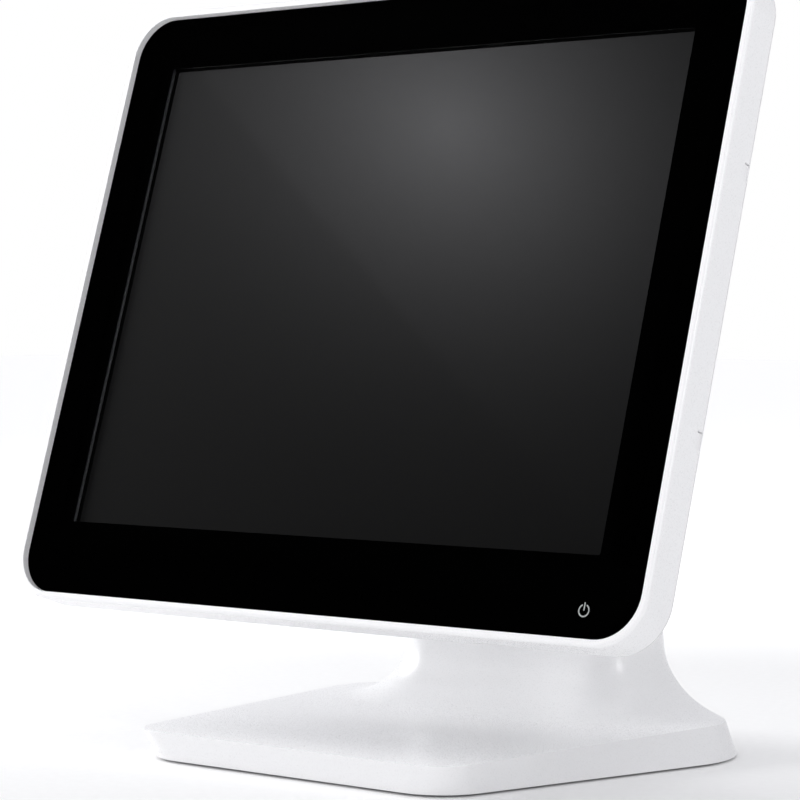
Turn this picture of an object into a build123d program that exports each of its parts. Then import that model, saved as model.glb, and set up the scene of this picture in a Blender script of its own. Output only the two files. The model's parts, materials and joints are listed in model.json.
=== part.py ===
from build123d import *
from math import cos, radians, sin
import os

# Touchscreen till terminal: a tilting display head on a weighted foot.
# X is to the right as the cashier sees it, Y is towards the back, Z is up.
# The origin is on the counter, under the middle of the foot.
os.makedirs("parts", exist_ok=True)

# ---------------------------------------------------------------- foot
foot_front_half = 86.6  # half width of the foot at its front edge
foot_front_y = -99.4
foot_back_y = 102.7
foot_splay = 14.4  # how far each side runs outwards towards the back, degrees
foot_front_radius = 26.0
foot_back_radius = 50.0
top_front_half = 91.0  # the same outline at the top crease
top_front_y = -102.7
top_back_y = 99.3
top_splay = 7.1
top_front_radius = 18.0
top_back_radius = 32.0
part_clear = 0.3  # between neighbouring pieces
foot_gap = 1.2  # the shell stands clear of the counter on its pads
front_height = 12.9  # of the shell's front edge above its own rim
top_slope = 0.25  # the top rises towards the back, degrees
foot_wall = 2.8
least_corner = 1.0  # smallest corner of any inset outline
flare_overlap = 8.0  # how far the neck's flare starts inside the foot

plate_low = 2.5  # base plate's underside above the counter
plate_thick_base = 2.0
pad_radius = 9.0
pad_round = 0.8
pad_spots = [(-70, -74), (70, -74), (-86, 58), (86, 58)]
screw_spots = [(-76, -44), (76, -44), (-90, 24), (90, 24)]
screw_clear = 0.2  # in the holes that screws pass through
boss_radius = 4.0
base_screw_radius = 1.5
base_screw_length = 7.0
fixing_y = -24.0  # holes for bolting the foot to a counter
fixing_x_spacing = 120.0
fixing_y_spacing = 76.0
fixing_hole_radius = 2.75
ballast_y = -34.0
ballast_width = 100.0
ballast_length = 96.0
ballast_thick = 5.5
ballast_corner = 6.0
ballast_bevel = 1.0
spine_foot = 44.0  # of the strip, lying forwards on the base plate
spine_heel = 3.0
spine_bends = (29.0, 57.0, 73.0)  # heights above the flare where the strip is bent
spine_thick = 3.0
spine_half = 26.0
hatch_low = 22.0
hatch_high = 58.0
hatch_width = 68.0
hatch_corner = 5.0
exit_width = 30.0
exit_corner = 3.0
exit_height = 8.0
clip_drop = 8.0
clip_length = 8.0
clip_inset = 7.0
clip_width = 6.0
clip_thick = 2.4

# ---------------------------------------------------------------- neck
neck_y = 81.9  # centre of the neck where the flare ends
neck_z = 51.0
neck_half_width = 68.4
neck_half_depth = 24.0
neck_corner = 22.0
flare_front = 8.0  # how far the neck spreads below that, in front, at the sides and behind
flare_side = 4.0
flare_back = 2.0
flare_radius = 33.0  # between neck and foot
neck_top_half_width = 50.0
neck_top_half_depth = 13.0
neck_top_corner = 8.0
neck_set = 1.0  # the neck meets the barrel this far behind its middle
neck_sections = 4
neck_curve = 1.4  # power of the neck's forward sweep

# ---------------------------------------------------------------- hinge
hinge_y = 18.5
hinge_z = 141.0
barrel_radius = 16.0
barrel_half = 52.0
barrel_sink = 4.0
shaft_hole_clear = 0.6
nut_x = 21.0
shaft_tip = 1.0  # of the shaft beyond its nut
washer_play = 0.03
nut_thick = 4.5
nut_radius = 6.9
spring_radius = 7.5
washer_thick = 1.2
washer_radius = 8.5
ear_radius = 10.0
ear_web = 9.0
bracket_screw_radius = 2.0
bracket_screw_head = 1.8
bracket_screw_round = 0.6
strip_screw_pitch = 10.0
strip_screw_bite = 1.0
ear_set = 6.0  # where each ear meets the strip, above the strip's last bend but one
bracket_thick = 2.5
bracket_height = 52.0
bracket_rise = 6.0
bracket_corner = 4.0
cap_thick = 4.5
cap_lip = 1.5
cap_round = 3.5
shaft_radius = 4.0
shaft_running = 0.05
ear_thick = 3.0
ear_x = 34.0  # inner face of the foot's ear
arm_gap = 0.8  # between the barrel's end and the head's arm
arm_thick = 4.0
arm_radius = 12.5
screen_lean = 17.5
hinge_below_centre = 45.0
hinge_behind_glass = 85.0

# ---------------------------------------------------------------- head
glass_width = 354.8
glass_height = 289.3
glass_radius = 20.0
glass_thick = 3.0
glass_gap = 0.15
rim_width = 3.4
frame_depth = 18.8
frame_wall = 2.6
rim_round = 1.6
seam_round = 1.8
ledge_width = 10.0
ledge_thick = 2.2
tape_thick = 0.8
print_thick = 0.1
view_width = 304.1  # clear window in the black border
view_height = 228.1
view_above_centre = 4.25

lcd_width = 326.5
lcd_height = 253.5
lcd_behind_glass = 4.4
lcd_bezel_thick = 0.8
lcd_bezel_margin = 1.0  # bezel opening beyond the window, each side
lcd_cell_thick = 2.2
lcd_tray_thick = 8.5
plate_thick = 1.2
plate_gap = 0.6

cover_seam = 0.5  # step between frame and rear cover
cover_slope_depth = 16.0
cover_slope_inset = 24.0
cover_wall = 2.6
hump_width = 244.0
hump_height = 186.0
hump_below_centre = 22.0
hump_draft = 10.0  # inset of the hump's back face
hump_depth = 31.2
hump_radius = 14.0
hump_edge = 6.0
hump_root = 1.0
post_clear = 0.4
frame_boss_inset = 9.9  # screw bosses' centres inside the edge of the glass
frame_boss_y = 128.0
frame_boss_radius = 3.4
frame_screw_radius = 1.5
screw_head = 2.0
screw_head_ratio = 1.8  # head radius over thread radius
chassis_screw_bite = 6.0
side_slot_spacing = 115.0
side_slot_length = 7.6
slot_deep = 4.0
slot_tall = 4.8
bottom_slot_x = 98.0
bottom_slot_length = 18.0
hook_thick = 1.2
hook_set = 1.9
hook_short = 0.6
glass_chamfer = 0.3
view_corner = 1.0
key_x = 149.0
key_y = -132.8
key_radius = 2.45
key_line = 0.6
key_bar = 3.4  # length of the mark's upright bar
key_opening = 1.9  # in the ring, on both sides of the bar
key_board_thick = 0.7
key_board_width = 24.0
key_board_height = 12.0
key_board_corner = 2.0
key_board_clear = 0.5
print_inset = 0.2  # inside the glass edge, each side
tape_inset = 0.5
lcd_skirt = 9.0
lcd_corner = 1.5
lcd_cell_inset = 3.0
lcd_tray_clear = 0.1
lcd_tray_corner = 1.0
lcd_bracket_inset = 14.0
lcd_bracket_width = 10.0
lcd_bracket_short = 30.0
plate_margin = 6.0  # of the chassis plate beyond its side screws
plate_rise = 4.0
plate_corner = 6.0
cable_slot_y = 100.0
cable_slot_width = 60.0
cable_slot_height = 14.0
cable_slot_corner = 4.0
post_y = -38.0
post_x_spacing = 88.0
post_y_spacing = 36.0
post_radius = 5.0
post_screw_radius = 2.0
post_screw_bite = 10.0
board_gap = 16.0
board_thick = 1.6
board_y = -42.0
board_width = 170.0
board_height = 118.0
board_corner = 2.0
board_post_clear = 1.0
standoff_inset = 5.0
standoff_radius = 3.0
board_screw_head = 2.8
processor_x = 0.0
processor_y = -14.0
chip_size = 28.0
chip_thick = 1.4
sink_size = 60.0
sink_base = 3.0
sink_pitch = 4.2
sink_fin = 1.2
sink_fins = 14
sink_height = 16.0
memory_x = 0.0
memory_y = -64.0
memory_width = 67.6
memory_height = 30.0
memory_thick = 1.2
memory_lift = 3.2
socket_width = 70.0
socket_depth = 5.0
socket_thick = 5.0
socket_arm = 3.0
port_overhang = 2.0
port_length = 14.0
port_window = 18.0
port_window_corner = 2.0
port_window_margin = 1.0
port_window_depth = 3.0
port_plate_width = 176.0
usb_x = [-62.0, -42.0, -22.0]
usb_width = 14.4
usb_height = 15.0
usb_shell = 0.6
usb_tongue_inset = 2.0
usb_tongue = 1.6
port_back = 3.0
lan_x = 0.0
lan_width = 16.0
lan_height = 13.5
lan_side = 2.0
lan_end = 2.5
serial_x = 34.0
serial_width = 31.0
serial_height = 12.5
serial_corner = 1.5
serial_shell_width = 17.0
serial_shell_height = 8.5
serial_shell = 0.5
serial_shell_corner = 2.0
dc_x = 68.0
dc_size = 11.0
dc_bore = 3.4
dc_pin = 1.0
port_clear = 0.2
port_plate_thick = 1.0
port_ear_length = 12.0
tray_outer = 161.0
tray_length = 108.0
tray_width = 78.0
tray_thick = 11.0
tray_y = 62.0
tray_floor = 1.2
tray_wall = 1.5
tray_front_thick = 2.5
tray_gap = 1.7
tray_grip = 3.0
tray_grip_width = 18.0
tray_grip_thick = 1.6
drive_corner = 1.5
drive_clear = 0.5
guide_thick = 1.6
guide_clear = 0.4
guide_short = 6.0
drive_length = 100.0
drive_width = 69.8
drive_thick = 7.0
controller_x = -100.0
controller_y = 96.0
controller_width = 62.0
controller_height = 22.0
controller_inset = 4.0
controller_lift = 2.0
controller_peg = 2.0
controller_chip = 10.0
controller_chip_thick = 1.2
speaker_x = 118.0
speaker_y = -112.0
speaker_length = 40.0
speaker_width = 18.0
speaker_thick = 7.0
speaker_corner = 4.0
cone_inset = 6.0
cone_rise = 1.0
vent_y = 34.0
vent_pitch = 7.0
vent_count = 25
vent_length = 34.0
vent_width = 2.6
grille_pitch = 5.0
grille_count = 6
grille_length = 14.0
cover_screw_spots = [(-145, -100), (145, -100), (-145, 110), (145, 110)]
cover_boss_radius = 4.0
cover_screw_radius = 1.5
cover_boss_length = 15.0

# ---------------------------------------------------------------- planes
lean = radians(screen_lean)
to_front = Vector(0, -cos(lean), sin(lean))
up_screen = Vector(0, sin(lean), cos(lean))
hinge_point = Vector(0, hinge_y, hinge_z)
head_origin = hinge_point + up_screen * hinge_below_centre + to_front * hinge_behind_glass
head = Plane(origin=head_origin, x_dir=(1, 0, 0), z_dir=to_front)
hinge_side = Plane(origin=hinge_point, x_dir=to_front, z_dir=(-1, 0, 0))
boss_spacing = glass_width - 2 * frame_boss_inset


def behind(depth):
    """The plane parallel to the glass, this far behind its face."""
    return head.offset(-depth)


def save(piece, name):
    piece.part.label = name
    export_step(piece.part, f"parts/{name}.step")


def outline(front_half, front_y, back_y, splay, front_radius, back_radius, inset=0.0):
    """The foot's plan: straight front, sides that run outwards, round back corners."""
    slope = sin(radians(splay)) / cos(radians(splay))
    side_inset = inset / cos(radians(splay))
    near = front_half - side_inset + slope * inset
    far = front_half - side_inset + slope * (back_y - inset - front_y)
    Polygon(
        (-near, front_y + inset),
        (near, front_y + inset),
        (far, back_y - inset),
        (-far, back_y - inset),
        align=None,
    )
    fillet(vertices().group_by(Axis.Y)[0], max(front_radius - inset, least_corner))
    fillet(vertices().group_by(Axis.Y)[-1], max(back_radius - inset, least_corner))


def rim_outline(inset=0.0):
    outline(foot_front_half, foot_front_y, foot_back_y, foot_splay, foot_front_radius, foot_back_radius, inset)


def top_outline(inset=0.0):
    outline(top_front_half, top_front_y, top_back_y, top_splay, top_front_radius, top_back_radius, inset)


def top_height(y):
    """Height of the foot's top face at a distance back."""
    rise = sin(radians(top_slope)) / cos(radians(top_slope))
    return foot_gap + front_height + rise * (y - top_front_y)


slab_size = 6 * foot_back_y  # larger than the whole foot
tiny = 0.01
plate_top = plate_low + plate_thick_base
hump_back = frame_depth + cover_slope_depth + hump_depth
plate_front = (
    lcd_behind_glass + lcd_bezel_thick + lcd_cell_thick + lcd_tray_thick + plate_gap
)
top_plane = Plane(
    origin=(0, top_front_y, foot_gap + front_height),
    x_dir=(1, 0, 0),
    z_dir=(0, -sin(radians(top_slope)), cos(radians(top_slope))),
)


def foot_volume(wall=0.0):
    """The whole foot as a solid; a wall thickness gives the hollow inside it instead."""
    with BuildPart() as walls:
        with BuildSketch(Plane.XY.offset(foot_gap)):
            rim_outline(wall)
        with BuildSketch(Plane.XY.offset(top_height(top_back_y))):
            top_outline(wall)
        loft(ruled=True)
        extrude(faces().sort_by(Axis.Z)[-1], amount=hinge_z)
    top_face = top_plane.offset(-wall)
    with BuildPart() as foot:
        with BuildSketch(top_face):
            Rectangle(slab_size, slab_size)
        extrude(amount=-top_height(foot_back_y))
        with BuildSketch(Plane.XY.offset(neck_z)):
            with Locations((0, neck_y)):
                RectangleRounded(
                    2 * (neck_half_width - wall), 2 * (neck_half_depth - wall), neck_corner - wall
                )
        with BuildSketch(Plane.XY.offset(top_height(neck_y) - flare_overlap)):
            with Locations((0, neck_y - (flare_front - flare_back) / 2)):
                RectangleRounded(
                    2 * (neck_half_width + flare_side - wall),
                    2 * (neck_half_depth - wall) + flare_front + flare_back,
                    neck_corner + flare_side - wall,
                )
        loft(ruled=True)
        meeting = edges().filter_by(
            lambda edge: abs(top_face.to_local_coords(edge.center()).Z) < tiny and edge.length < slab_size / 2
        )
        fillet(meeting, flare_radius + wall)
        for step in range(neck_sections):
            share = step / (neck_sections - 1)
            with BuildSketch(Plane.XY.offset(neck_z + (hinge_z - barrel_sink - neck_z) * share)):
                with Locations((0, neck_y - (neck_y - hinge_y - neck_set) * share**neck_curve)):
                    RectangleRounded(
                        2 * (neck_half_width + (neck_top_half_width - neck_half_width) * share - wall),
                        2 * (neck_half_depth + (neck_top_half_depth - neck_half_depth) * share - wall),
                        neck_corner + (neck_top_corner - neck_corner) * share - wall,
                    )
        loft()
        add(walls.part, mode=Mode.INTERSECT)
    return foot.part


def neck_centre(level):
    """How far back the middle of the neck lies at a height."""
    share = max(level - neck_z, 0) / (hinge_z - barrel_sink - neck_z)
    return neck_y - (neck_y - hinge_y - neck_set) * share**neck_curve


# Foot shell: glossy white ABS, foot and neck in one moulding, open below.
shell_volume = foot_volume()
hollow_volume = foot_volume(foot_wall)

with BuildPart() as base_shell:
    add(shell_volume)
    with BuildSketch(Plane.YZ):
        with Locations((hinge_y, hinge_z)):
            Circle(barrel_radius)
    extrude(amount=barrel_half, both=True)
    add(hollow_volume, mode=Mode.SUBTRACT)
    with BuildSketch(Plane.XY):
        rim_outline(foot_wall)
    extrude(amount=foot_gap + tiny, mode=Mode.SUBTRACT)
    with BuildSketch(Plane.YZ):
        with Locations((hinge_y, hinge_z)):
            Circle(barrel_radius - foot_wall)
    extrude(amount=barrel_half - foot_wall, both=True, mode=Mode.SUBTRACT)
    with BuildSketch(Plane.YZ):
        with Locations((hinge_y, hinge_z)):
            Circle(shaft_radius + shaft_hole_clear)
    extrude(amount=barrel_half, both=True, mode=Mode.SUBTRACT)
    for x, y in screw_spots:
        with BuildSketch(Plane.XY.offset(plate_top)):
            with Locations((x, y)):
                Circle(boss_radius)
                Circle(base_screw_radius, mode=Mode.SUBTRACT)
        extrude(amount=top_height(y) - foot_wall / 2 - plate_top)
    with BuildSketch(Plane.XZ.offset(-foot_back_y)):
        with Locations((0, (hatch_low + hatch_high) / 2)):
            RectangleRounded(hatch_width, hatch_high - hatch_low, hatch_corner)
    extrude(amount=foot_back_y - top_back_y + 2 * foot_wall, mode=Mode.SUBTRACT)
save(base_shell, "base_shell")

with BuildPart() as base_plate:
    add(foot_volume(foot_wall + part_clear))
    with BuildSketch(Plane.XY.offset(plate_low)):
        Rectangle(slab_size, slab_size)
    extrude(amount=plate_top - plate_low, mode=Mode.INTERSECT)
    with Locations((0, fixing_y, plate_top)):
        with GridLocations(fixing_x_spacing, fixing_y_spacing, 2, 2):
            Hole(fixing_hole_radius)
    with BuildSketch(Plane.XY.offset(plate_top)):
        with Locations(*screw_spots):
            Circle(base_screw_radius + screw_clear)
    extrude(amount=plate_low - plate_top, mode=Mode.SUBTRACT)
save(base_plate, "base_plate")

with BuildPart() as rubber_feet:
    with BuildSketch():
        with Locations(*pad_spots):
            Circle(pad_radius)
    extrude(amount=plate_low)
    fillet(edges().group_by(Axis.Z)[0], pad_round)
save(rubber_feet, "rubber_feet")

with BuildPart() as base_screws:
    with BuildSketch(Plane.XY.offset(plate_low)):
        with Locations(*screw_spots):
            Circle(base_screw_radius)
    extrude(amount=base_screw_length)
    with BuildSketch(Plane.XY.offset(plate_low)):
        with Locations(*screw_spots):
            Circle(screw_head_ratio * base_screw_radius)
    extrude(amount=foot_gap - plate_low)
save(base_screws, "base_screws")

with BuildPart() as ballast:
    with BuildSketch(Plane.XY.offset(plate_top)):
        with Locations((0, ballast_y)):
            RectangleRounded(ballast_width, ballast_length, ballast_corner)
    extrude(amount=ballast_thick)
    chamfer(edges().group_by(Axis.Z)[-1], ballast_bevel)
save(ballast, "ballast")

# Neck frame: bent steel strip from the base plate up to the hinge.
spine = [(neck_y - spine_foot, plate_top + spine_thick / 2), (neck_y + spine_heel, plate_top + spine_thick / 2)]
spine += [(neck_centre(neck_z), neck_z)]
spine += [(neck_centre(z), z) for z in [neck_z + rise for rise in spine_bends]]

with BuildPart() as neck_frame:
    with BuildSketch(Plane.YZ):
        with BuildLine():
            Polyline(*spine)
        trace(line_width=spine_thick)
    extrude(amount=spine_half, both=True)

spine_low = Vector(0, *spine[-2])
spine_high = Vector(0, *spine[-1])
spine_run = (spine_high - spine_low).normalized()
spine_out = spine_run.cross(Vector(1, 0, 0))
strip_shift = spine_out * spine_thick
strip_plane = Plane(origin=(spine_low + spine_high) * 0.5 + strip_shift * 1.5, x_dir=(1, 0, 0), z_dir=spine_out)

with BuildPart() as hinge_bracket:
    with BuildSketch(strip_plane):
        Rectangle(2 * (ear_x + ear_thick), (spine_high - spine_low).length - 2 * part_clear)
    extrude(amount=-spine_thick)
    for side in (-1, 1):
        with BuildSketch(Plane.YZ.offset(side * (ear_x + ear_thick / 2))):
            with BuildLine():
                Line((hinge_y, hinge_z), tuple(spine_low + strip_shift * 0.5 + spine_run * ear_set)[1:])
            trace(line_width=ear_web)
            with Locations((hinge_y, hinge_z)):
                Circle(ear_radius)
                Circle(shaft_radius + shaft_running, mode=Mode.SUBTRACT)
        extrude(amount=ear_thick / 2, both=True)

# Its screws go through the strip, so they are cut out of both pieces.
with BuildPart() as hinge_bracket_screws:
    with BuildSketch(strip_plane):
        with GridLocations(spine_half, strip_screw_pitch, 2, 2):
            Circle(bracket_screw_radius * screw_head_ratio)
    extrude(amount=bracket_screw_head)
    with BuildSketch(strip_plane):
        with GridLocations(spine_half, strip_screw_pitch, 2, 2):
            Circle(bracket_screw_radius)
    extrude(amount=-2 * spine_thick - strip_screw_bite)
save(hinge_bracket_screws, "hinge_bracket_screws")

with BuildPart() as drilled_bracket:
    add(hinge_bracket.part)
    add(hinge_bracket_screws.part, mode=Mode.SUBTRACT)
save(drilled_bracket, "hinge_bracket")

with BuildPart() as drilled_frame:
    add(neck_frame.part)
    add(hinge_bracket_screws.part, mode=Mode.SUBTRACT)
save(drilled_frame, "neck_frame")

# Cable cover: clips into the back of the neck, with a gap for the leads below it.
with BuildPart() as cable_cover:
    with BuildSketch(Plane.XZ.offset(-top_back_y)):
        with Locations((0, (hatch_low + hatch_high) / 2)):
            RectangleRounded(
                hatch_width - 2 * part_clear, hatch_high - hatch_low - 2 * part_clear, hatch_corner - part_clear
            )
        with Locations((0, hatch_low)):
            RectangleRounded(exit_width, 2 * exit_height, exit_corner, mode=Mode.SUBTRACT)
    extrude(amount=foot_wall)
    with BuildSketch(Plane.XZ.offset(-top_back_y + foot_wall)):
        with Locations((0, hatch_high - clip_drop)):
            with GridLocations(hatch_width - 2 * clip_inset, 1, 2, 1):
                Rectangle(clip_width, clip_thick)
    extrude(amount=clip_length)
save(cable_cover, "cable_cover")

# ---------------------------------------------------------------- hinge on the head
def on_shaft(piece_name, inner_x, outer_x, radius, bore=0.0, sides=0):
    """A ring, disc or nut on both hinge shafts, between two distances from the middle."""
    with BuildPart() as piece:
        for side in (-1, 1):
            with BuildSketch(Plane.YZ.offset(side * (inner_x + outer_x) / 2)):
                with Locations((hinge_y, hinge_z)):
                    if sides:
                        RegularPolygon(radius, sides)
                    else:
                        Circle(radius)
                    if bore:
                        Circle(bore, mode=Mode.SUBTRACT)
            extrude(amount=(outer_x - inner_x) / 2, both=True)
    save(piece, piece_name)
    return piece


arm_inner = barrel_half + arm_gap
arm_outer = arm_inner + arm_thick
on_shaft("hinge_shafts", nut_x, arm_outer, shaft_radius)
spring_start = nut_x + shaft_tip + nut_thick
on_shaft("hinge_nuts", nut_x + shaft_tip, spring_start, nut_radius, shaft_radius, 6)
on_shaft("disc_springs", spring_start, ear_x - washer_thick - washer_play, spring_radius, shaft_radius)
with BuildPart() as friction_washers:
    for near, far in ((ear_x - washer_thick, ear_x), (ear_x + ear_thick, ear_x + ear_thick + washer_thick)):
        for side in (-1, 1):
            with BuildSketch(Plane.YZ.offset(side * (near + far) / 2)):
                with Locations((hinge_y, hinge_z)):
                    Circle(washer_radius)
                    Circle(shaft_radius, mode=Mode.SUBTRACT)
            extrude(amount=washer_thick / 2 - washer_play, both=True)
save(friction_washers, "friction_washers")

bracket_reach = hinge_behind_glass - hump_back
with BuildPart() as head_bracket:
    with BuildSketch(behind(hump_back)):
        with Locations((0, -hinge_below_centre + bracket_rise)):
            RectangleRounded(2 * arm_outer, bracket_height, bracket_corner)
        with Locations((0, post_y)):
            with GridLocations(post_x_spacing, post_y_spacing, 2, 2):
                Circle(post_screw_radius, mode=Mode.SUBTRACT)
    extrude(amount=-bracket_thick)
    for side in (-1, 1):
        with BuildSketch(hinge_side.offset(side * (arm_inner + arm_thick / 2))):
            Circle(arm_radius)
            Polygon(
                (0, -arm_radius), (bracket_reach, bracket_rise - bracket_height / 2),
                (bracket_reach, bracket_rise + bracket_height / 2), (0, arm_radius), align=None,
            )
            Circle(shaft_radius, mode=Mode.SUBTRACT)
        extrude(amount=arm_thick / 2, both=True)
save(head_bracket, "head_bracket")

with BuildPart() as hinge_caps:
    for side in (-1, 1):
        with BuildSketch(Plane.YZ.offset(side * (arm_outer + cap_thick / 2))):
            with Locations((hinge_y, hinge_z)):
                Circle(arm_radius + cap_lip)
        extrude(amount=cap_thick / 2, both=True)
    fillet(edges().group_by(Axis.X)[-1] + edges().group_by(Axis.X)[0], cap_round)
save(hinge_caps, "hinge_caps")

# ---------------------------------------------------------------- head, front to back
frame_width = glass_width + 2 * rim_width
frame_height = glass_height + 2 * rim_width
frame_radius = glass_radius + rim_width
glass_axis = Axis(origin=head_origin, direction=to_front)
ledge_front = glass_thick + tape_thick
ledge_back = ledge_front + ledge_thick

with BuildPart() as front_frame:
    with BuildSketch(head):
        RectangleRounded(frame_width, frame_height, frame_radius)
    extrude(amount=-frame_depth)
    fillet(faces().sort_by(glass_axis)[-1].edges(), rim_round)
    fillet(faces().sort_by(glass_axis)[0].edges(), seam_round)
    with BuildSketch(head):
        RectangleRounded(glass_width + 2 * glass_gap, glass_height + 2 * glass_gap, glass_radius + glass_gap)
    extrude(amount=-ledge_front, mode=Mode.SUBTRACT)
    with BuildSketch(head):
        RectangleRounded(
            glass_width - 2 * ledge_width, glass_height - 2 * ledge_width, glass_radius - ledge_width
        )
    extrude(amount=-frame_depth, mode=Mode.SUBTRACT)
    with BuildSketch(behind(ledge_back)):
        RectangleRounded(
            frame_width - 2 * frame_wall, frame_height - 2 * frame_wall, frame_radius - frame_wall
        )
    extrude(amount=-frame_depth, mode=Mode.SUBTRACT)
    with BuildSketch(behind(ledge_front)):
        with GridLocations(boss_spacing, frame_boss_y, 2, 3):
            Circle(frame_boss_radius)
            Circle(frame_screw_radius, mode=Mode.SUBTRACT)
    extrude(amount=ledge_front - plate_front)
    with BuildSketch(behind(frame_depth)):
        with GridLocations(frame_width, side_slot_spacing, 2, 2):
            Rectangle(2 * slot_deep, side_slot_length)
        with Locations((bottom_slot_x, -frame_height / 2)):
            Rectangle(bottom_slot_length, 2 * slot_deep)
    extrude(amount=slot_tall, mode=Mode.SUBTRACT)
save(front_frame, "front_frame")

with BuildPart() as seam_hooks:
    with BuildSketch(behind(frame_depth)):
        with GridLocations(frame_width - 2 * hook_set, side_slot_spacing, 2, 2):
            Rectangle(hook_thick, side_slot_length - 2 * part_clear)
        with Locations((bottom_slot_x, -frame_height / 2 + hook_set)):
            Rectangle(bottom_slot_length - 2 * part_clear, hook_thick)
    extrude(amount=slot_tall - hook_short)
save(seam_hooks, "seam_hooks")

with BuildPart() as touch_glass:
    with BuildSketch(head):
        RectangleRounded(glass_width, glass_height, glass_radius)
    extrude(amount=-glass_thick)
    chamfer(faces().sort_by(glass_axis)[-1].edges(), glass_chamfer)
save(touch_glass, "touch_glass")

with BuildPart() as power_mark:
    with BuildSketch(behind(glass_thick)):
        with Locations((key_x, key_y)):
            Circle(key_radius + key_line / 2)
            Circle(key_radius - key_line / 2, mode=Mode.SUBTRACT)
        with Locations((key_x, key_y + key_radius)):
            Rectangle(key_opening, key_radius, mode=Mode.SUBTRACT)
        with Locations((key_x, key_y + key_bar / 2)):
            Rectangle(key_line, key_bar)
    extrude(amount=-print_thick)
save(power_mark, "power_mark")

with BuildPart() as border_print:
    with BuildSketch(behind(glass_thick)):
        RectangleRounded(glass_width - 2 * print_inset, glass_height - 2 * print_inset, glass_radius - print_inset)
        with Locations((0, view_above_centre)):
            RectangleRounded(view_width, view_height, view_corner, mode=Mode.SUBTRACT)
    extrude(amount=-print_thick)
    add(power_mark.part, mode=Mode.SUBTRACT)
save(border_print, "border_print")

with BuildPart() as key_backing:
    with BuildSketch(behind(glass_thick + print_thick)):
        with Locations((key_x, key_y)):
            RectangleRounded(key_board_width, key_board_height, key_board_corner)
    extrude(amount=-key_board_thick)
save(key_backing, "power_key_board")

with BuildPart() as glass_tape:
    with BuildSketch(behind(glass_thick + print_thick)):
        RectangleRounded(glass_width - 2 * tape_inset, glass_height - 2 * tape_inset, glass_radius - tape_inset)
        RectangleRounded(
            glass_width - 2 * (ledge_width - tape_inset), glass_height - 2 * (ledge_width - tape_inset),
            glass_radius - ledge_width + tape_inset, mode=Mode.SUBTRACT,
        )
        with Locations((key_x, key_y)):
            Rectangle(
                key_board_width + 2 * key_board_clear, key_board_height + 2 * key_board_clear, mode=Mode.SUBTRACT
            )
    extrude(amount=print_thick - tape_thick)
save(glass_tape, "glass_tape")

lcd_centre = (0, view_above_centre)
tray_shrink = lcd_bezel_thick + lcd_tray_clear

with BuildPart() as lcd_bezel:
    with BuildSketch(behind(lcd_behind_glass)):
        with Locations(lcd_centre):
            RectangleRounded(lcd_width, lcd_height, lcd_corner)
    extrude(amount=-lcd_skirt)
    with BuildSketch(behind(lcd_behind_glass + lcd_bezel_thick)):
        with Locations(lcd_centre):
            Rectangle(lcd_width - 2 * lcd_bezel_thick, lcd_height - 2 * lcd_bezel_thick)
    extrude(amount=-lcd_skirt, mode=Mode.SUBTRACT)
    with BuildSketch(behind(lcd_behind_glass)):
        with Locations(lcd_centre):
            Rectangle(view_width + 2 * lcd_bezel_margin, view_height + 2 * lcd_bezel_margin)
    extrude(amount=-lcd_bezel_thick, mode=Mode.SUBTRACT)
save(lcd_bezel, "lcd_bezel")

with BuildPart() as lcd_cell:
    with BuildSketch(behind(lcd_behind_glass + lcd_bezel_thick)):
        with Locations(lcd_centre):
            Rectangle(lcd_width - 2 * lcd_cell_inset, lcd_height - 2 * lcd_cell_inset)
    extrude(amount=-lcd_cell_thick)
save(lcd_cell, "lcd_cell")

with BuildPart() as lcd_tray:
    with BuildSketch(behind(lcd_behind_glass + lcd_bezel_thick + lcd_cell_thick)):
        with Locations(lcd_centre):
            RectangleRounded(lcd_width - 2 * tray_shrink, lcd_height - 2 * tray_shrink, lcd_tray_corner)
    extrude(amount=-lcd_tray_thick)
save(lcd_tray, "lcd_tray")

with BuildPart() as chassis_plate:
    with BuildSketch(behind(plate_front)):
        RectangleRounded(boss_spacing + 2 * plate_margin, 2 * (frame_boss_y + plate_rise), plate_corner)
        with Locations((0, cable_slot_y)):
            RectangleRounded(cable_slot_width, cable_slot_height, cable_slot_corner, mode=Mode.SUBTRACT)
        with GridLocations(boss_spacing, frame_boss_y, 2, 3):
            Circle(frame_screw_radius + screw_clear, mode=Mode.SUBTRACT)
        with Locations((0, post_y)):
            with GridLocations(post_x_spacing, post_y_spacing, 2, 2):
                Circle(post_screw_radius, mode=Mode.SUBTRACT)
    extrude(amount=-plate_thick)
save(chassis_plate, "chassis_plate")
plate_back = plate_front + plate_thick

with BuildPart() as chassis_screws:
    with BuildSketch(behind(plate_back)):
        with GridLocations(boss_spacing, frame_boss_y, 2, 3):
            Circle(screw_head_ratio * frame_screw_radius)
    extrude(amount=-screw_head)
    with BuildSketch(behind(plate_back)):
        with GridLocations(boss_spacing, frame_boss_y, 2, 3):
            Circle(frame_screw_radius)
    extrude(amount=plate_thick + chassis_screw_bite)
save(chassis_screws, "chassis_screws")

with BuildPart() as lcd_brackets:
    for side in (-1, 1):
        with BuildSketch(behind(plate_front)):
            with Locations((side * (lcd_width / 2 - lcd_bracket_inset), view_above_centre)):
                Rectangle(lcd_bracket_width, lcd_height - 2 * lcd_bracket_short)
        extrude(amount=plate_gap)
save(lcd_brackets, "lcd_brackets")

# Posts carry the hinge bracket's pull through the rear cover to the chassis.
with BuildPart() as bracket_posts:
    with BuildSketch(behind(plate_back)):
        with Locations((0, post_y)):
            with GridLocations(post_x_spacing, post_y_spacing, 2, 2):
                RegularPolygon(post_radius, 6)
                Circle(post_screw_radius, mode=Mode.SUBTRACT)
    extrude(amount=plate_back - hump_back)
save(bracket_posts, "bracket_posts")

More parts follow.
